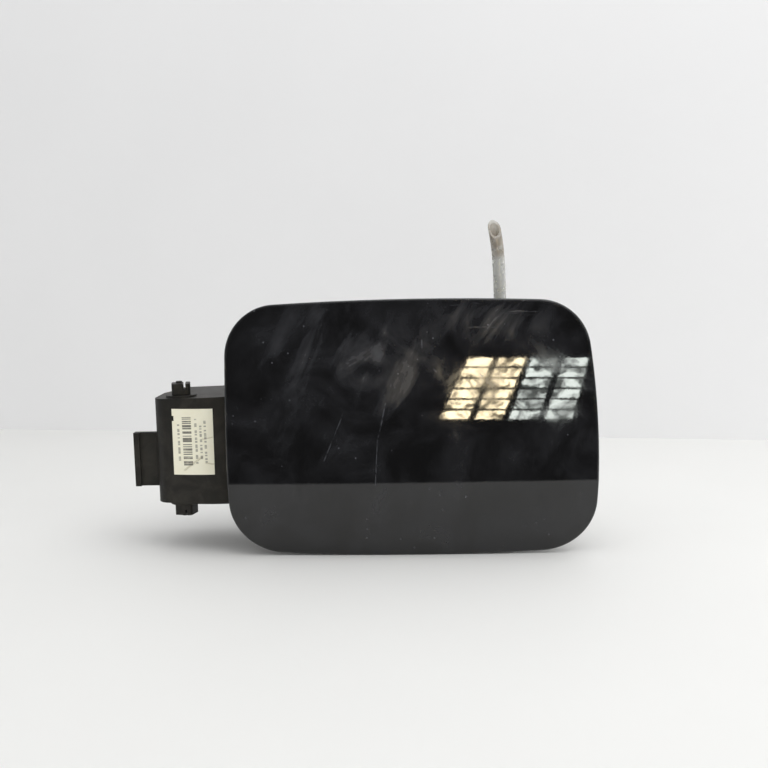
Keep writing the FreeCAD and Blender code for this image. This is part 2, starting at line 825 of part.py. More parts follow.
def make_neck_seal():
    """The rubber neck boot: a grooved flange on the bowl's hole, one fold and a collar with a lip."""
    floor = pot_back
    back = pot_back + wall
    edge = neck_hole_radius
    collar = back + seal_fold
    points = [
        (edge + seal_flange, floor - seal_lip),
        (edge + seal_flange, floor),
        (edge, floor),
        (edge, back),
        (edge - 1.0, back + seal_fold * 0.5),
        (seal_bore_radius + seal_lip, collar),
        (seal_bore_radius + seal_lip, collar + seal_collar_length),
        (seal_bore_radius, collar + seal_collar_length),
        (seal_bore_radius, collar),
        (edge - seal_lip - 1.0, back + seal_fold * 0.2),
        (edge - seal_lip, floor - seal_lip),
    ]
    ring = [V(neck_x + r, y, neck_z) for r, y in points]
    face = Part.Face(Part.makePolygon(ring + ring[:1]))
    return face.revolve(V(neck_x, 0, neck_z), V(0, 1, 0), 360.0)


def make_lock_pin():
    """The lock bolt: a round-nosed rod with a collar, drawn back clear of the striker."""
    nose = striker_x - bolt_overreach + lock_travel
    run = lock_pad_x + bolt_tail - nose
    body = rod(lock_pin_radius, (nose, lock_y, lock_z), (1, 0, 0), run)
    tip = [e for e in body.Edges if abs(e.CenterOfMass.x - nose) < 1e-6]
    return body.makeChamfer(bolt_bevel, tip)


def make_lock_pin_boot():
    """The rubber ring round the lock bolt, pressed in the bowl's side."""
    inner = lock_pin_radius + boot_gap
    body = rod(lock_pin_radius + boot_wall, (lock_pad_x - boot_depth, lock_y, lock_z), (1, 0, 0), boot_depth)
    return body.cut(rod(inner, (lock_pad_x - boot_depth - 1.0, lock_y, lock_z), (1, 0, 0), boot_depth + 2.0))


def make_lock_actuator():
    """The actuator's case, a closed box with rounded edges and a blind way for the bolt."""
    body = Part.makeBox(
        actuator_length, actuator_depth, actuator_height, V(lock_pad_x, actuator_front, actuator_bottom)
    )
    far = [e for e in body.Edges if e.CenterOfMass.x > lock_pad_x + 0.1]
    body = body.makeChamfer(actuator_bevel, far)
    way = rod(lock_pin_radius + pin_room, (lock_pad_x - 1.0, lock_y, lock_z), (1, 0, 0), bolt_tail + 2.0)
    body = body.cut(way)
    for z in actuator_screw_levels():
        hole = rod(actuator_screw_radius, (lock_pad_x, actuator_screw_y, z), (1, 0, 0), actuator_length)
        body = body.cut(hole)
    return body


def make_actuator_screws():
    """Two screws through the actuator into the bowl's pad."""
    screws = []
    for z in actuator_screw_levels():
        seat = lock_pad_x + actuator_length
        head = rod(actuator_screw_head, (seat, actuator_screw_y, z), (1, 0, 0), actuator_screw_head_height)
        run = actuator_length + actuator_screw_reach
        radius = actuator_screw_radius - screw_clearance
        shank = rod(radius, (seat - run, actuator_screw_y, z), (1, 0, 0), run)
        screws.append(head.fuse(shank))
    return Part.makeCompound(screws)


def striker_screw_places():
    x = striker_x - striker_foot + 5.0
    return [(x, lock_z - 6.0), (x, lock_z + 6.0)]


def make_striker():
    """The striker: a foot screwed to the flap's pan and a tongue with the eye for the lock bolt."""
    half = striker_height / 2.0
    top = pan_back + striker_foot_thickness
    low = lock_z - half
    high = lock_z + half
    foot_start = striker_x - striker_foot
    foot = rounded_prism(
        foot_start, striker_x + striker_thickness, low, high, striker_round, pan_back, top
    )
    eye = lock_pin_radius + eye_clearance
    reach = lock_y + eye + eye_margin
    tongue = Part.makeBox(striker_thickness, reach - pan_back, striker_height, V(striker_x, pan_back, low))
    ends = [
        e for e in tongue.Edges
        if abs(e.tangentAt(e.FirstParameter).x) > 0.99 and e.CenterOfMass.y > reach - 0.1
    ]
    tongue = tongue.makeFillet(half * 0.6, ends)
    body = foot.fuse(tongue)
    body = body.cut(rod(eye, (striker_x - 2.0, lock_y, lock_z), (1, 0, 0), striker_thickness + 4.0))
    for x, z in striker_screw_places():
        body = body.cut(rod(striker_screw_radius, (x, pan_back - 1.0, z), (0, 1, 0), 10.0))
    return body.removeSplitter()


def make_striker_screws():
    seat = pan_back + striker_foot_thickness
    reach = striker_foot_thickness - screw_tip_room
    screws = []
    for x, z in striker_screw_places():
        screws.append(screw(x, seat, z, striker_screw_radius - screw_clearance, striker_screw_head, reach))
    return Part.makeCompound(screws)


def make_cap_holder():
    """The forked clip on the flap's inside that the screw cap hangs in while filling."""
    half = holder_width / 2.0
    base = rounded_prism(
        holder_x - half, holder_x + half, holder_z - holder_base_low, holder_z - holder_base_high,
        holder_thickness, pan_back, pan_back + holder_thickness,
    )
    shelf_z = holder_z - holder_shelf_drop
    shelf = Part.makeBox(holder_width, holder_reach, holder_thickness, V(holder_x - half, pan_back, shelf_z))
    middle = pan_back + holder_reach / 2.0
    upright = [e for e in shelf.Edges if abs(e.tangentAt(e.FirstParameter).z) > 0.99]
    ends = [e for e in upright if e.CenterOfMass.y > middle]
    shelf = shelf.makeFillet(holder_round, ends)
    start = pan_back + holder_slot_start
    side = holder_x - holder_gap / 2.0
    slot = Part.makeBox(holder_gap, holder_reach, holder_thickness, V(side, start, shelf_z))
    slot = slot.fuse(rod(holder_gap / 2.0, (holder_x, start, shelf_z), (0, 0, 1), holder_thickness))
    return base.fuse(shelf).cut(slot).removeSplitter()


def hose_path():
    """Straight runs joined by arcs, each as large as its two runs allow."""
    points = [V(*p) for p in hose_route]
    edges = []
    here = points[0]
    for before, corner, after in zip(points, points[1:], points[2:]):
        into = corner.sub(before)
        out = after.sub(corner)
        turn = into.getAngle(out)
        share = 0.45 * min(into.Length, out.Length)
        radius = share / math.tan(turn / 2.0)
        into.normalize()
        out.normalize()
        start = corner.sub(V(into).multiply(share))
        end = corner.add(V(out).multiply(share))
        side = V(out).sub(into)
        side.normalize()
        middle = corner.add(side.multiply(radius / math.cos(turn / 2.0) - radius))
        edges.append(Part.LineSegment(here, start).toShape())
        edges.append(Part.Arc(start, middle, end).toShape())
        here = end
    edges.append(Part.LineSegment(here, points[-1]).toShape())
    return Part.Wire(edges)


def make_drain_hose():
    """The drain hose on its nipple, cut off at a slant at its free end."""
    path = hose_path()
    start = V(*hose_route[0])
    heading = V(*hose_route[1]).sub(start)

    def tube(radius):
        ring = Part.Wire(Part.makeCircle(radius, start, heading))
        return path.makePipeShell([ring], True, False)

    body = tube(hose_radius).cut(tube(hose_radius - hose_wall))
    end = V(*hose_route[-1])
    wide = 8 * hose_radius
    knife = Part.makeBox(wide, wide, wide, V(-wide / 2.0, -wide / 2.0, 0.0))
    knife.rotate(V(0, 0, 0), V(1, 0, 0), hose_cut_slope)
    knife.translate(end.sub(V(0, 0, hose_radius)))
    return body.cut(knife)


def make_part_label():
    """The paper label, stuck on the pocket's bowed front."""
    front = pocket_profile(-label_gap - label_thickness, pot_back).extrude(V(0, 0, pocket_top))
    skin = front.cut(pocket_profile(-label_gap, pot_back + wall).extrude(V(0, 0, pocket_top)))
    sheet_block = Part.makeBox(
        label_width, 20.0, label_height, V(label_x - label_width / 2.0, 0, label_z - label_height / 2.0)
    )
    sheet_block.rotate(V(label_x, 0, label_z), V(0, 1, 0), -label_turn)
    return skin.common(sheet_block)


nodes = {
    "flap_outer_skin": make_flap_outer_skin(),
    "flap_inner_panel": make_flap_inner_panel(),
    "hinge_arm": make_hinge_arm(),
    "arm_screws": make_arm_screws(),
    "striker": make_striker(),
    "striker_screws": make_striker_screws(),
    "cap_holder": make_cap_holder(),
    "filler_bowl": make_filler_bowl(),
    "upper_buffer": make_buffer(*buffer_places()[0]),
    "lower_buffer": make_buffer(*buffer_places()[1]),
    "hinge_pin": make_hinge_pin(),
    "upper_pivot_plug": make_pivot_plug(1),
    "lower_pivot_plug": make_pivot_plug(-1),
    "leaf_spring": make_leaf_spring(),
    "neck_seal": make_neck_seal(),
    "lock_actuator": make_lock_actuator(),
    "actuator_screws": make_actuator_screws(),
    "lock_pin": make_lock_pin(),
    "lock_pin_boot": make_lock_pin_boot(),
    "drain_hose": make_drain_hose(),
    "part_label": make_part_label(),
}

# The origin is under the middle of the unit, on the surface that it stands on
standing = Part.makeCompound([s for name, s in nodes.items() if name != "drain_hose"])
reach = standing.optimalBoundingBox(False)
to_origin = V(-(reach.XMin + reach.XMax) / 2.0, -(reach.YMin + reach.YMax) / 2.0, -reach.ZMin)
print("moved by", [round(c, 3) for c in to_origin])

os.makedirs("parts", exist_ok=True)
for name, shape in nodes.items():
    shape.translate(to_origin)
    shape.exportStep("parts/" + name + ".step")
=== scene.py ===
import json
import math
import bpy
from mathutils import Matrix, Vector


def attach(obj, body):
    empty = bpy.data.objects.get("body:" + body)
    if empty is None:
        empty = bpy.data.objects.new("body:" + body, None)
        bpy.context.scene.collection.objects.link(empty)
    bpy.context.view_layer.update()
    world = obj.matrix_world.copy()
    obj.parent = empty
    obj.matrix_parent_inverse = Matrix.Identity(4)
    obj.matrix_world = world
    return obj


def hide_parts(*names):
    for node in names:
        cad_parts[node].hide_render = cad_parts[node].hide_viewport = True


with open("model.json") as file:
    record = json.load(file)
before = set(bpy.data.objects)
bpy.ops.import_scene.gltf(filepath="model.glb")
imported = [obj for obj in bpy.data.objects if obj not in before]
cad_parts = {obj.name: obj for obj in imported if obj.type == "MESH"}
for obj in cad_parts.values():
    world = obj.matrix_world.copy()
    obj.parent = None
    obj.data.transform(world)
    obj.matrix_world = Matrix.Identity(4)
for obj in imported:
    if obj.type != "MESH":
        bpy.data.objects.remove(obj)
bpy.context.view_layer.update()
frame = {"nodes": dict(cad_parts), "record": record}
nodes = frame["nodes"]

MM = 0.001


# Small helpers for materials

def new_material(name):
    mat = bpy.data.materials.new(name)
    mat.use_nodes = True
    mat.node_tree.nodes.clear()
    return mat


class Tree:
    """Adds nodes to one material and joins them."""

    def __init__(self, mat):
        self.tree = mat.node_tree
        self.coords = self.add("ShaderNodeTexCoord").outputs["Object"]

    def add(self, kind, settings=None, **sockets):
        made = self.tree.nodes.new(kind)
        for key, value in (settings or {}).items():
            setattr(made, key, value)
        for key, value in sockets.items():
            self.put(made.inputs[key.replace("_", " ")], value)
        return made

    def put(self, socket, value):
        if isinstance(value, bpy.types.NodeSocket):
            self.tree.links.new(value, socket)
        else:
            socket.default_value = value

    def math(self, operation, a, b=0.0, clamp=False):
        made = self.tree.nodes.new("ShaderNodeMath")
        made.operation = operation
        made.use_clamp = clamp
        self.put(made.inputs[0], a)
        self.put(made.inputs[1], b)
        return made.outputs[0]

    def ramp(self, value, low, high, to_low=0.0, to_high=1.0):
        made = self.add("ShaderNodeMapRange", {"clamp": True, "interpolation_type": "SMOOTHSTEP"})
        limits = {"Value": value, "From Min": low, "From Max": high, "To Min": to_low, "To Max": to_high}
        for key, v in limits.items():
            self.put(made.inputs[key], v)
        return made.outputs["Result"]

    def mix(self, share, a, b):
        made = self.add("ShaderNodeMix", {"data_type": "RGBA"})
        self.put(made.inputs["Factor"], share)
        self.put(made.inputs[6], a)
        self.put(made.inputs[7], b)
        return made.outputs[2]

    def noise(self, scale, detail=3.0, rough=0.5, bend=0.0, stretch=None):
        where = self.coords
        if stretch:
            mapping = self.add("ShaderNodeMapping")
            self.put(mapping.inputs["Vector"], self.coords)
            self.put(mapping.inputs["Scale"], stretch)
            where = mapping.outputs["Vector"]
        made = self.add(
            "ShaderNodeTexNoise", Scale=scale, Detail=detail, Roughness=rough, Distortion=bend
        )
        self.put(made.inputs["Vector"], where)
        return made.outputs["Fac"]

    def spot(self, centre, size, soft=1.0):
        """1 inside an ellipse in x and z, fading to 0 at its edge."""
        away = self.add("ShaderNodeVectorMath", {"operation": "SUBTRACT"})
        self.put(away.inputs[0], self.coords)
        self.put(away.inputs[1], (centre[0], 0.0, centre[1]))
        scaled = self.add("ShaderNodeVectorMath", {"operation": "MULTIPLY"})
        self.put(scaled.inputs[0], away.outputs[0])
        self.put(scaled.inputs[1], (1.0 / size[0], 0.0, 1.0 / size[1]))
        length = self.add("ShaderNodeVectorMath", {"operation": "LENGTH"})
        self.put(length.inputs[0], scaled.outputs[0])
        return self.ramp(length.outputs["Value"], 1.0 - soft, 1.0, 1.0, 0.0)

    def stroke(self, start, end, width):
        """1 along a straight stroke in x and z, fading to 0 at its sides."""
        run = Vector((end[0] - start[0], end[1] - start[1]))
        away = self.add("ShaderNodeVectorMath", {"operation": "SUBTRACT"})
        self.put(away.inputs[0], self.coords)
        self.put(away.inputs[1], (start[0], 0.0, start[1]))
        along = self.add("ShaderNodeVectorMath", {"operation": "DOT_PRODUCT"})
        self.put(along.inputs[0], away.outputs[0])
        unit = run.normalized()
        self.put(along.inputs[1], (unit.x, 0.0, unit.y))
        across = self.add("ShaderNodeVectorMath", {"operation": "DOT_PRODUCT"})
        self.put(across.inputs[0], away.outputs[0])
        self.put(across.inputs[1], (-unit.y, 0.0, unit.x))
        side = self.ramp(self.math("ABSOLUTE", across.outputs["Value"]), width * 0.3, width, 1.0, 0.0)
        begin = self.ramp(along.outputs["Value"], -width, width)
        stop = self.ramp(along.outputs["Value"], run.length - width, run.length + width, 1.0, 0.0)
        return self.math("MULTIPLY", side, self.math("MULTIPLY", begin, stop))

    def total(self, *values):
        out = values[0]
        for v in values[1:]:
            out = self.math("MAXIMUM", out, v)
        return out

    def bump(self, height, strength, distance, edge=0.0):
        """Relief from a height, with the sharp edges rounded off by the edge radius."""
        made = self.add("ShaderNodeBump", Strength=strength, Distance=distance)
        self.put(made.inputs["Height"], height)
        if edge:
            rounded = self.add("ShaderNodeBevel", {"samples": 6}, Radius=edge)
            self.put(made.inputs["Normal"], rounded.outputs["Normal"])
        return made.outputs["Normal"]

    def finish(self, **sockets):
        shader = self.add("ShaderNodeBsdfPrincipled", **sockets)
        out = self.add("ShaderNodeOutputMaterial")
        self.tree.links.new(shader.outputs["BSDF"], out.inputs["Surface"])
        return shader


# Materials

def paint_black():
    """Black clear-coated paint with wiped dust, spots and fine scratches."""
    mat = new_material("black_paint")
    t = Tree(mat)
    cloud = t.ramp(t.noise(24.0, 7.0, 0.62, 0.9), 0.38, 0.74)
    slant = t.add("ShaderNodeMapping")
    t.put(slant.inputs["Vector"], t.coords)
    t.put(slant.inputs["Rotation"], (0.0, math.radians(58.0), 0.0))
    drawn = t.add("ShaderNodeMapping")
    t.put(drawn.inputs["Vector"], slant.outputs["Vector"])
    t.put(drawn.inputs["Scale"], (0.3, 1.0, 1.0))
    wipe_noise = t.add("ShaderNodeTexNoise", Scale=85.0, Detail=5.0, Roughness=0.6, Distortion=0.5)
    t.put(wipe_noise.inputs["Vector"], drawn.outputs["Vector"])
    wipes = t.ramp(wipe_noise.outputs["Fac"], 0.46, 0.70)
    where = t.total(
        t.spot((0.002, 0.100), (0.078, 0.052)),
        t.math("MULTIPLY", t.spot((0.066, 0.119), (0.060, 0.020)), 0.8),
        t.math("MULTIPLY", t.spot((-0.020, 0.066), (0.055, 0.034)), 0.45),
        t.math("MULTIPLY", t.spot((0.075, 0.052), (0.045, 0.020)), 0.3),
    )
    patch = t.math("ADD", t.math("MULTIPLY", cloud, 0.65), t.math("MULTIPLY", wipes, 0.6), True)
    smear = t.math("MULTIPLY", patch, where)
    strokes = t.ramp(t.noise(170.0, 3.0, 0.6, 0.0, (0.3, 1.0, 1.8)), 0.54, 0.72)
    brush = t.math("MULTIPLY", strokes, t.spot((0.070, 0.120), (0.050, 0.015)))
    dust = t.math("MULTIPLY", t.ramp(t.noise(34.0, 6.0, 0.62, 0.6), 0.42, 0.8), 0.3)
    dark_spots = t.total(
        t.spot((-0.014, 0.0935), (0.010, 0.007)),
        t.spot((0.008, 0.096), (0.012, 0.006)),
    )
    haze = t.total(smear, t.math("MULTIPLY", brush, 0.8), dust)
    haze = t.math("MULTIPLY", haze, t.math("SUBTRACT", 1.0, t.math("MULTIPLY", dark_spots, 0.8)))
    specks = t.add("ShaderNodeTexVoronoi", {"feature": "F1"}, Scale=210.0, Randomness=1.0)
    t.put(specks.inputs["Vector"], t.coords)
    fine = t.ramp(specks.outputs["Distance"], 0.05, 0.11, 1.0, 0.0)
    fine = t.math("MULTIPLY", fine, t.ramp(t.noise(70.0, 2.0), 0.52, 0.62))
    scratches = t.total(
        t.stroke((-0.007, 0.0735), (-0.017, 0.0505), 0.0004),
        t.stroke((0.0145, 0.079), (0.010, 0.060), 0.0005),
        t.stroke((0.010, 0.060), (0.0085, 0.038), 0.0004),
        t.stroke((0.033, 0.110), (0.033, 0.104), 0.0005),
        t.stroke((0.0385, 0.0955), (0.0400, 0.0940), 0.0006),
        t.stroke((0.0905, 0.1125), (0.0915, 0.1105), 0.0006),
    )
    broken = t.ramp(t.noise(300.0, 2.0), 0.35, 0.6)
    marks = t.math("MULTIPLY", t.math("MULTIPLY", scratches, broken), 0.5)
    nicks = t.math("MULTIPLY", t.math("MAXIMUM", marks, fine), 0.7)
    dull = t.math("ADD", t.math("MULTIPLY", haze, 0.5), nicks, True)
    base = t.mix(t.math("MULTIPLY", dull, 0.62), (0.0042, 0.004, 0.0042, 1.0), (0.20, 0.205, 0.23, 1.0))
    peel = t.bump(t.noise(520.0, 1.0), 0.02, 0.0002, 0.0017)
    t.finish(
        Base_Color=base,
        Roughness=t.ramp(haze, 0.0, 1.0, 0.025, 0.5),
        Specular_IOR_Level=t.ramp(haze, 0.0, 0.8, 0.45, 0.2),
        Coat_Weight=t.ramp(haze, 0.0, 0.8, 0.35, 0.08),
        Coat_Roughness=t.ramp(haze, 0.0, 1.0, 0.01, 0.2),
        Normal=peel,
    )
    return mat


def panel_black():
    """Thinner, duller paint on the flap's inside, with dust in it."""
    mat = new_material("panel_paint")
    t = Tree(mat)
    dust = t.ramp(t.noise(60.0, 5.0, 0.6, 0.5), 0.42, 0.75)
    base = t.mix(t.math("MULTIPLY", dust, 0.35), (0.012, 0.012, 0.013, 1.0), (0.10, 0.095, 0.085, 1.0))
    t.finish(
        Base_Color=base,
        Roughness=t.ramp(dust, 0.0, 1.0, 0.28, 0.55),
        Normal=t.bump(t.noise(900.0, 2.0), 0.05, 0.0002),
    )
    return mat


def moulded_black():
    """Brown-black moulded plastic with a fine grain and dry dust."""
    mat = new_material("moulded_plastic")
    t = Tree(mat)
    dust = t.ramp(t.noise(75.0, 6.0, 0.62, 0.6), 0.40, 0.78)
    streak = t.ramp(t.noise(90.0, 4.0, 0.6, 0.2, (1.0, 1.0, 0.22)), 0.5, 0.8)
    dirt = t.math("ADD", t.math("MULTIPLY", dust, 0.6), t.math("MULTIPLY", streak, 0.12), True)
    clean = (0.015, 0.0138, 0.0115, 1.0)
    base = t.mix(t.math("MULTIPLY", dirt, 0.55), clean, (0.080, 0.073, 0.060, 1.0))
    grain = t.noise(2600.0, 2.0, 0.6)
    t.finish(
        Base_Color=base,
        Roughness=t.ramp(dirt, 0.0, 1.0, 0.48, 0.70),
        Specular_IOR_Level=0.24,
        Normal=t.bump(grain, 0.16, 0.0002, 0.0007),
    )
    return mat


def steel():
    """Zinc-plated steel, a little dull and spotted."""
    mat = new_material("plated_steel")
    t = Tree(mat)
    spots = t.ramp(t.noise(380.0, 4.0, 0.6, 0.4), 0.5, 0.72)
    base = t.mix(spots, (0.52, 0.52, 0.50, 1.0), (0.30, 0.27, 0.22, 1.0))
    t.finish(
        Base_Color=base,
        Metallic=t.ramp(spots, 0.0, 1.0, 1.0, 0.7),
        Roughness=t.ramp(spots, 0.0, 1.0, 0.27, 0.5),
        Normal=t.bump(t.noise(1500.0, 2.0, 0.5, 0.0, (1.0, 1.0, 0.15)), 0.08, 0.0001),
    )
    return mat


def rubber():
    """Matt black rubber with grey bloom."""
    mat = new_material("black_rubber")
    t = Tree(mat)
    bloom = t.ramp(t.noise(95.0, 5.0, 0.6, 0.4), 0.42, 0.75)
    base = t.mix(t.math("MULTIPLY", bloom, 0.4), (0.014, 0.014, 0.014, 1.0), (0.075, 0.073, 0.068, 1.0))
    t.finish(
        Base_Color=base,
        Roughness=t.ramp(bloom, 0.0, 1.0, 0.55, 0.8),
        Specular_IOR_Level=0.35,
        Normal=t.bump(t.noise(1800.0, 2.0), 0.14, 0.0002),
    )
    return mat


def hose_clear():
    """Milky see-through plastic, stained brown below the cut end."""
    mat = new_material("hose_plastic")
    t = Tree(mat)
    z = t.add("ShaderNodeSeparateXYZ", Vector=t.coords).outputs["Z"]
    low = t.ramp(z, 0.147, 0.153)
    high = t.ramp(z, 0.164, 0.170, 1.0, 0.0)
    patchy = t.ramp(t.noise(120.0, 4.0, 0.6, 0.5), 0.2, 0.6)
    stain = t.math("MULTIPLY", t.math("MULTIPLY", low, high), patchy)
    dull = t.ramp(t.noise(170.0, 5.0, 0.6, 0.4), 0.4, 0.75)
    base = t.mix(t.math("MULTIPLY", dull, 0.18), (0.80, 0.80, 0.77, 1.0), (0.52, 0.50, 0.45, 1.0))
    base = t.mix(t.math("MULTIPLY", stain, 0.75), base, (0.40, 0.33, 0.25, 1.0))
    t.finish(
        Base_Color=base,
        Roughness=t.ramp(dull, 0.0, 1.0, 0.2, 0.4),
        Transmission_Weight=0.5,
        IOR=1.45,
        Subsurface_Weight=0.25,
        Subsurface_Radius=(0.004, 0.004, 0.003),
        Subsurface_Scale=0.5,
        Normal=t.bump(t.noise(700.0, 2.0, 0.5, 0.0, (1.0, 1.0, 0.1)), 0.08, 0.0002),
    )
    return mat


# Place and size of the label, for its print here and for its sheet below

label_centre = Vector((-0.0863, -0.0246, 0.0586))
label_width = 0.0215
label_height = 0.0345
label_turn = math.radians(0.4)


def label_paper():
    """Aged cream paper with plain grey bars and dashes printed down it."""
    mat = new_material("label_paper")
    t = Tree(mat)
    turned = t.add("ShaderNodeMapping", {"vector_type": "TEXTURE"})
    t.put(turned.inputs["Vector"], t.coords)
    t.put(turned.inputs["Location"], label_centre)
    t.put(turned.inputs["Rotation"], (0.0, -label_turn, 0.0))
    part = t.add("ShaderNodeSeparateXYZ", Vector=turned.outputs["Vector"])
    x = part.outputs["X"]
    z = part.outputs["Z"]

    def band(value, low, high, soft):
        begin = t.ramp(value, low - soft, low + soft)
        end = t.ramp(value, high - soft, high + soft, 1.0, 0.0)
        return t.math("MULTIPLY", begin, end)

    rows = t.add("ShaderNodeTexNoise", {"noise_dimensions": "1D"}, W=z, Scale=900.0, Detail=0.0)
    bars = t.math("MULTIPLY", t.ramp(rows.outputs["Fac"], 0.47, 0.51), band(x, -0.0053, -0.0005, 0.0001))
    bars = t.math("MULTIPLY", bars, band(z, -0.0125, 0.0130, 0.0001))
    ink = t.math("MULTIPLY", bars, 0.85)
    dash_half = 0.0006
    dash_rows = (
        (-0.0074, 0.0100, 620.0),
        (0.0018, 0.0120, 540.0),
        (0.0043, 0.0090, 700.0),
        (0.0066, 0.0110, 610.0),
    )
    for place, length, scale in dash_rows:
        dashes = t.add("ShaderNodeTexNoise", {"noise_dimensions": "1D"}, Scale=scale, Detail=0.0)
        t.put(dashes.inputs["W"], t.math("ADD", z, place * 9.0))
        column = band(x, place - dash_half, place + dash_half, 0.0001)
        row = t.math("MULTIPLY", t.ramp(dashes.outputs["Fac"], 0.46, 0.50), column)
        row = t.math("MULTIPLY", row, band(z, -length, length, 0.0002))
        ink = t.total(ink, t.math("MULTIPLY", row, 0.6))
    worn = t.ramp(t.noise(420.0, 4.0, 0.6), 0.3, 0.6)
    ink = t.math("MULTIPLY", ink, t.ramp(worn, 0.0, 1.0, 0.75, 1.0))
    age = t.ramp(t.noise(120.0, 4.0, 0.6, 0.5), 0.4, 0.75)
    base = t.mix(t.math("MULTIPLY", age, 0.3), (0.98, 0.95, 0.77, 1.0), (0.88, 0.82, 0.60, 1.0))
    crease = t.total(
        t.stroke((-0.0915, 0.0438), (-0.0815, 0.0510), 0.0007),
        t.stroke((-0.0800, 0.0476), (-0.0758, 0.0468), 0.0005),
        t.stroke((-0.0815, 0.0600), (-0.0758, 0.0610), 0.0004),
    )
    base = t.mix(t.math("MULTIPLY", crease, 0.4), base, (0.42, 0.36, 0.22, 1.0))
    base = t.mix(ink, base, (0.06, 0.057, 0.052, 1.0))
    fibres = t.noise(1600.0, 3.0)
    height = t.math("ADD", t.math("MULTIPLY", crease, 1.4), t.math("MULTIPLY", fibres, 0.15))
    t.finish(
        Base_Color=base,
        Roughness=0.62,
        Specular_IOR_Level=0.4,
        Normal=t.bump(height, 0.5, 0.0006),
    )
    return mat


materials = {
    "paint_black": paint_black(),
    "panel_black": panel_black(),
    "moulded_black": moulded_black(),
    "steel": steel(),
    "rubber_black": rubber(),
    "hose_clear": hose_clear(),
    "label_paper": label_paper(),
}


def dress(obj, slot):
    obj.data.materials.clear()
    obj.data.materials.append(materials[slot])


slot_of = {s["node"]: s["material_slot"] for s in frame["record"]["subparts"]}
for name, obj in nodes.items():
    dress(obj, slot_of[name])


# Small helpers for pieces made here

def start_piece(obj, name):
    obj.name = name
    obj.data.name = name
    return obj


def apply_all(obj):
    bpy.ops.object.select_all(action="DESELECT")
    obj.select_set(True)
    bpy.context.view_layer.objects.active = obj
    for mod in list(obj.modifiers):
        bpy.ops.object.modifier_apply(modifier=mod.name)


# Drain hose: a tube bent along a line, with a slanted cut at its upper end
# The route is in mm in the part's own drawing, and the shift brings it into the frame

shift = Vector((26.502, -40.604, 0.0))
hose_route = [
    (47.0, 37.0, 118.5),
    (47.0, 37.0, 130.0),
    (46.7, 37.1, 143.0),
    (45.9, 37.3, 157.0),
    (43.7, 36.7, 168.45),
]
hose_points = [(Vector(p) + shift) * MM for p in hose_route]
hose_radius = 0.00325
hose_wall = 0.001
hose_cut_slope = math.radians(58.0)
hose_cut_drop = 0.0019
hose_sides = 40
hose_rings = 48
hose_smooth = math.radians(35.0)

line = bpy.data.curves.new("hose_line", "CURVE")
line.dimensions = "3D"
line.resolution_u = 24
spline = line.splines.new("NURBS")
spline.points.add(len(hose_points) - 1)
for point, where in zip(spline.points, hose_points):
    point.co = (*where, 1.0)
spline.order_u = 3
spline.use_endpoint_u = True
line_obj = bpy.data.objects.new("hose_line", line)
bpy.context.scene.collection.objects.link(line_obj)
bpy.context.view_layer.update()
traced = bpy.data.meshes.new_from_object(line_obj)
hose_path = [v.co.copy() for v in traced.vertices]
hose_length = sum((b - a).length for a, b in zip(hose_path, hose_path[1:]))

bpy.ops.object.select_all(action="DESELECT")
bpy.ops.mesh.primitive_cylinder_add(
    vertices=hose_sides, radius=hose_radius, depth=hose_length,
    end_fill_type="NOTHING", location=(0, 0, 0),
)
hose = start_piece(bpy.context.object, "drain_hose_tube")
bpy.ops.object.mode_set(mode="EDIT")
bpy.ops.mesh.select_all(action="SELECT")
bpy.ops.transform.translate(value=(0, 0, hose_length / 2.0))
for i in range(1, hose_rings):
    bpy.ops.mesh.select_all(action="SELECT")
    bpy.ops.mesh.bisect(plane_co=(0, 0, hose_length * i / hose_rings), plane_no=(0, 0, 1))
bpy.ops.mesh.select_all(action="SELECT")
bpy.ops.mesh.remove_doubles(threshold=0.000001)
bpy.ops.mesh.normals_make_consistent(inside=False)
bpy.ops.object.mode_set(mode="OBJECT")
bend = hose.modifiers.new("bend", "CURVE")
bend.object = line_obj
bend.deform_axis = "POS_Z"
apply_all(hose)
shell = hose.modifiers.new("wall", "SOLIDIFY")
shell.thickness = hose_wall
shell.offset = -1.0
apply_all(hose)
bpy.ops.object.mode_set(mode="EDIT")
bpy.ops.mesh.select_all(action="SELECT")
cut_at = hose_points[-1] - Vector((0, 0, hose_radius + hose_cut_drop))
cut_normal = Vector((0, -math.sin(hose_cut_slope), math.cos(hose_cut_slope)))
bpy.ops.mesh.bisect(plane_co=cut_at, plane_no=cut_normal, use_fill=True, clear_outer=True)
bpy.ops.mesh.select_all(action="SELECT")
bpy.ops.mesh.normals_make_consistent(inside=False)
bpy.ops.object.mode_set(mode="OBJECT")
bpy.ops.object.shade_smooth_by_angle(angle=hose_smooth)
bpy.data.objects.remove(line_obj)
dress(hose, "hose_clear")
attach(hose, "housing")
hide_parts("drain_hose")


# Neck seal: its profile spun round the neck, with a lip on each side of the bowl's floor
# Each point of the profile is a radius and a place along y

neck = Vector((0.018502, 0.0, 0.064))
seal_steps = 96
seal_smooth = math.radians(40.0)
bowl_floor = 64.0
bowl_wall = 0.0022
floor_front = (bowl_floor + shift.y) * MM
floor_back = floor_front + bowl_wall
seal_profile = [
    (0.0330, floor_front - 0.0024), (0.0360, floor_front - 0.0018), (0.0365, floor_front - 0.0001),
    (0.0330, floor_front - 0.0001), (0.0329, floor_back + 0.0001), (0.0347, floor_back + 0.0002),
    (0.0346, floor_back + 0.0012), (0.0330, floor_back + 0.0022), (0.0316, floor_back + 0.0032),
    (0.0284, floor_back + 0.0060), (0.0284, floor_back + 0.0144), (0.0278, floor_back + 0.0150),
    (0.0264, floor_back + 0.0150), (0.0260, floor_back + 0.0144), (0.0260, floor_back + 0.0060),
    (0.0292, floor_back + 0.0014), (0.0304, floor_front - 0.0018),
]
bpy.ops.object.select_all(action="DESELECT")
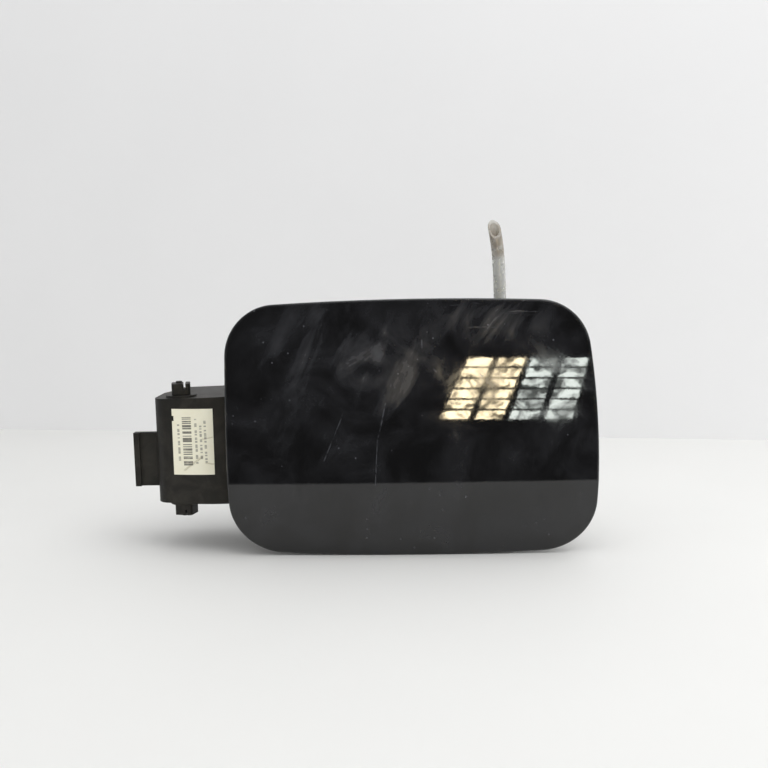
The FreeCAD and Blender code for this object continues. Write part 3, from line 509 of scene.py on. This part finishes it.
bpy.ops.mesh.primitive_circle_add(
    vertices=len(seal_profile), radius=1.0, fill_type="NOTHING", location=(0, 0, 0)
)
seal = start_piece(bpy.context.object, "neck_seal_boot")
for vertex, (radius, y) in zip(seal.data.vertices, seal_profile):
    vertex.co = (neck.x + radius, y, neck.z)
bpy.ops.object.mode_set(mode="EDIT")
bpy.ops.mesh.select_all(action="SELECT")
bpy.ops.mesh.spin(
    steps=seal_steps, angle=math.radians(360.0), center=neck, axis=(0, 1, 0), use_auto_merge=True
)
bpy.ops.mesh.select_all(action="SELECT")
bpy.ops.mesh.remove_doubles(threshold=0.000002)
bpy.ops.mesh.normals_make_consistent(inside=False)
bpy.ops.object.mode_set(mode="OBJECT")
bpy.ops.object.shade_smooth_by_angle(angle=seal_smooth)
dress(seal, "rubber_black")
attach(seal, "housing")
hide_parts("neck_seal")


# Label: a sheet of paper pressed on the pocket's bowed front, torn at its left edge

label_columns = 24
label_rows = 38
label_start = 0.004
label_lift = 0.0002
paper_thickness = 0.00012
torn_depth = 0.0007
torn_above = 0.0125
torn_half = 0.0011
bpy.ops.object.select_all(action="DESELECT")
bpy.ops.mesh.primitive_grid_add(
    x_subdivisions=label_columns, y_subdivisions=label_rows, size=1.0, location=(0, 0, 0)
)
label = start_piece(bpy.context.object, "label_sheet")
bpy.ops.object.mode_set(mode="EDIT")
bpy.ops.mesh.select_all(action="SELECT")
bpy.ops.transform.resize(value=(label_width, label_height, 1.0))
bpy.ops.transform.rotate(value=math.radians(90.0), orient_axis="X", center_override=(0, 0, 0))
bpy.ops.transform.rotate(value=-label_turn, orient_axis="Y", center_override=(0, 0, 0))
bpy.ops.transform.translate(value=label_centre + Vector((0, -label_start, 0)))
bpy.ops.object.mode_set(mode="OBJECT")
press = label.modifiers.new("press", "SHRINKWRAP")
press.target = nodes["filler_bowl"]
press.wrap_method = "PROJECT"
press.use_project_y = True
press.use_positive_direction = True
press.use_negative_direction = False
apply_all(label)
bpy.ops.object.mode_set(mode="EDIT")
bpy.ops.mesh.select_all(action="SELECT")
bpy.ops.transform.translate(value=(0, -label_lift, 0))
bpy.ops.object.mode_set(mode="OBJECT")
torn_x = label_centre.x - label_width / 2.0 + torn_depth
torn_z = label_centre.z + torn_above
torn = [
    face.index for face in label.data.polygons
    if face.center.x < torn_x and abs(face.center.z - torn_z) < torn_half
]
bpy.ops.object.mode_set(mode="EDIT")
bpy.ops.mesh.select_mode(type="FACE")
bpy.ops.mesh.select_all(action="DESELECT")
bpy.ops.object.mode_set(mode="OBJECT")
for index in torn:
    label.data.polygons[index].select = True
bpy.ops.object.mode_set(mode="EDIT")
bpy.ops.mesh.delete(type="FACE")
bpy.ops.object.mode_set(mode="OBJECT")
paper = label.modifiers.new("paper", "SOLIDIFY")
paper.thickness = paper_thickness
paper.offset = -1.0
apply_all(label)
dress(label, "label_paper")
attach(label, "housing")
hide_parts("part_label")


# Camera

def aim(obj, at, roll=0.0):
    look = (Vector(at) - obj.location).to_track_quat("-Z", "Y")
    obj.rotation_mode = "QUATERNION"
    obj.rotation_quaternion = look @ Matrix.Rotation(roll, 4, "Z").to_quaternion()


camera_place = (0.0429, -0.5613, 0.1548)
camera_target = (0.0141, -0.0406, 0.0890)
camera_roll = math.radians(-1.43)
camera_data = bpy.data.cameras.new("camera")
camera_data.lens = 50.0
camera_data.sensor_width = 36.0
camera = bpy.data.objects.new("camera", camera_data)
bpy.context.scene.collection.objects.link(camera)
camera.location = camera_place
aim(camera, camera_target, camera_roll)
bpy.context.scene.camera = camera


# Table and wall

def plane(name, corners, mat):
    bpy.ops.object.select_all(action="DESELECT")
    bpy.ops.mesh.primitive_plane_add(size=1.0, location=(0, 0, 0))
    obj = start_piece(bpy.context.object, name)
    for vertex, where in zip(obj.data.vertices, corners):
        vertex.co = where
    obj.data.materials.append(mat)
    return obj


def stage_paint(name, colour, rough):
    mat = new_material(name)
    t = Tree(mat)
    tone = t.ramp(t.noise(6.0, 3.0), 0.3, 0.7, 0.985, 1.0)
    base = t.mix(tone, (0.0, 0.0, 0.0, 1.0), colour)
    t.finish(Base_Color=base, Roughness=rough, Specular_IOR_Level=0.2)
    return mat


def front_only(mat):
    """Lets the eye pass through the sheet from behind."""
    tree = mat.node_tree
    end = next(n for n in tree.nodes if n.type == "OUTPUT_MATERIAL")
    shown = end.inputs["Surface"].links[0].from_socket
    clear = tree.nodes.new("ShaderNodeBsdfTransparent")
    side = tree.nodes.new("ShaderNodeNewGeometry")
    both = tree.nodes.new("ShaderNodeMixShader")
    tree.links.new(side.outputs["Backfacing"], both.inputs["Fac"])
    tree.links.new(shown, both.inputs[1])
    tree.links.new(clear.outputs[0], both.inputs[2])
    tree.links.new(both.outputs[0], end.inputs["Surface"])
    return mat


wall_middle = 0.323
wall_slope = -0.171
wall_height = 1.4
room_half = 1.5
table_front = -0.30
table_back = 0.9


def wall_y(x):
    return wall_middle + wall_slope * x


table_corners = [(x, y, 0) for y in (table_front, table_back) for x in (-room_half, room_half)]
plane("table", table_corners, stage_paint("table_paint", (0.80, 0.80, 0.785, 1.0), 0.6))
wall_corners = [(x, wall_y(x), z) for z in (0.0, wall_height) for x in (-room_half, room_half)]
plane("wall", wall_corners, front_only(stage_paint("wall_paint", (0.915, 0.915, 0.92, 1.0), 0.8)))

# Room light: even for the matt surfaces, dim towards the camera's side for reflections

room_strength = 0.62
world = bpy.data.worlds.new("room")
bpy.context.scene.world = world
world.use_nodes = True
w = world.node_tree
w.nodes.clear()
path = w.nodes.new("ShaderNodeLightPath")
bright = w.nodes.new("ShaderNodeBackground")
bright.inputs["Color"].default_value = (1.0, 1.0, 1.0, 1.0)
bright.inputs["Strength"].default_value = room_strength
dim = w.nodes.new("ShaderNodeBackground")
dim.inputs["Color"].default_value = (0.92, 0.96, 1.0, 1.0)
facing = w.nodes.new("ShaderNodeVectorMath")
facing.operation = "DOT_PRODUCT"
facing.inputs[1].default_value = (0.0, -1.0, 0.0)
w.links.new(w.nodes.new("ShaderNodeTexCoord").outputs["Generated"], facing.inputs[0])
dark_side = w.nodes.new("ShaderNodeMapRange")
dark_side.inputs["From Min"].default_value = 0.35
dark_side.inputs["From Max"].default_value = 0.90
dark_side.inputs["To Min"].default_value = 0.85
dark_side.inputs["To Max"].default_value = 0.07
w.links.new(facing.outputs["Value"], dark_side.inputs["Value"])
w.links.new(dark_side.outputs["Result"], dim.inputs["Strength"])
pick = w.nodes.new("ShaderNodeMixShader")
out = w.nodes.new("ShaderNodeOutputWorld")
w.links.new(path.outputs["Is Glossy Ray"], pick.inputs["Fac"])
w.links.new(bright.outputs[0], pick.inputs[1])
w.links.new(dim.outputs[0], pick.inputs[2])
w.links.new(pick.outputs[0], out.inputs["Surface"])


def area_light(name, where, at, size, power, colour=(1.0, 1.0, 1.0)):
    data = bpy.data.lights.new(name, "AREA")
    data.shape = "RECTANGLE"
    data.size = size[0]
    data.size_y = size[1]
    data.energy = power
    data.color = colour
    obj = bpy.data.objects.new(name, data)
    bpy.context.scene.collection.objects.link(obj)
    obj.location = where
    aim(obj, at)
    return obj


lights_target = (0.0, 0.0, 0.05)
area_light("top_light", (0.35, -0.25, 1.2), lights_target, (1.2, 1.2), 8.5)
area_light("side_light", (1.1, -0.7, 0.8), lights_target, (0.8, 0.8), 3.0)


# Window behind the camera, seen only as a reflection in the paint

def glow(name, colour, strength):
    mat = new_material(name)
    t = Tree(mat)
    leaves = t.ramp(t.noise(17.0, 3.0, 0.6, 1.2), 0.40, 0.58, 0.12, 1.25)
    shine = t.add("ShaderNodeEmission", Color=(*colour, 1.0))
    t.put(shine.inputs["Strength"], t.math("MULTIPLY", leaves, strength))
    end = t.add("ShaderNodeOutputMaterial")
    t.tree.links.new(shine.outputs[0], end.inputs["Surface"])
    return mat


warm_glass = glow("warm_glass", (1.0, 0.83, 0.54), 26.0)
cool_glass = glow("cool_glass", (0.93, 1.0, 0.94), 14.0)
window_y = -1.8
window_corners = [
    Vector((0.047, window_y, 0.071)), Vector((0.470, window_y, 0.059)),
    Vector((0.142, window_y, 0.340)), Vector((0.530, window_y, 0.330)),
]
columns = 4
rows = 6
bar = 0.1


def window_point(u, v):
    low = window_corners[0].lerp(window_corners[1], u)
    high = window_corners[2].lerp(window_corners[3], u)
    return low.lerp(high, v)


for i in range(columns):
    for j in range(rows):
        corners = []
        for dv in (bar, 1.0 - bar):
            for du in (bar, 1.0 - bar):
                corners.append(window_point((i + du) / columns, (j + dv) / rows))
        pane = plane("pane_%d_%d" % (i, j), corners, warm_glass if i < columns / 2 else cool_glass)
        pane.visible_camera = False
        pane.visible_diffuse = False
        pane.visible_shadow = False

scene = bpy.context.scene
scene.view_settings.view_transform = "Standard"
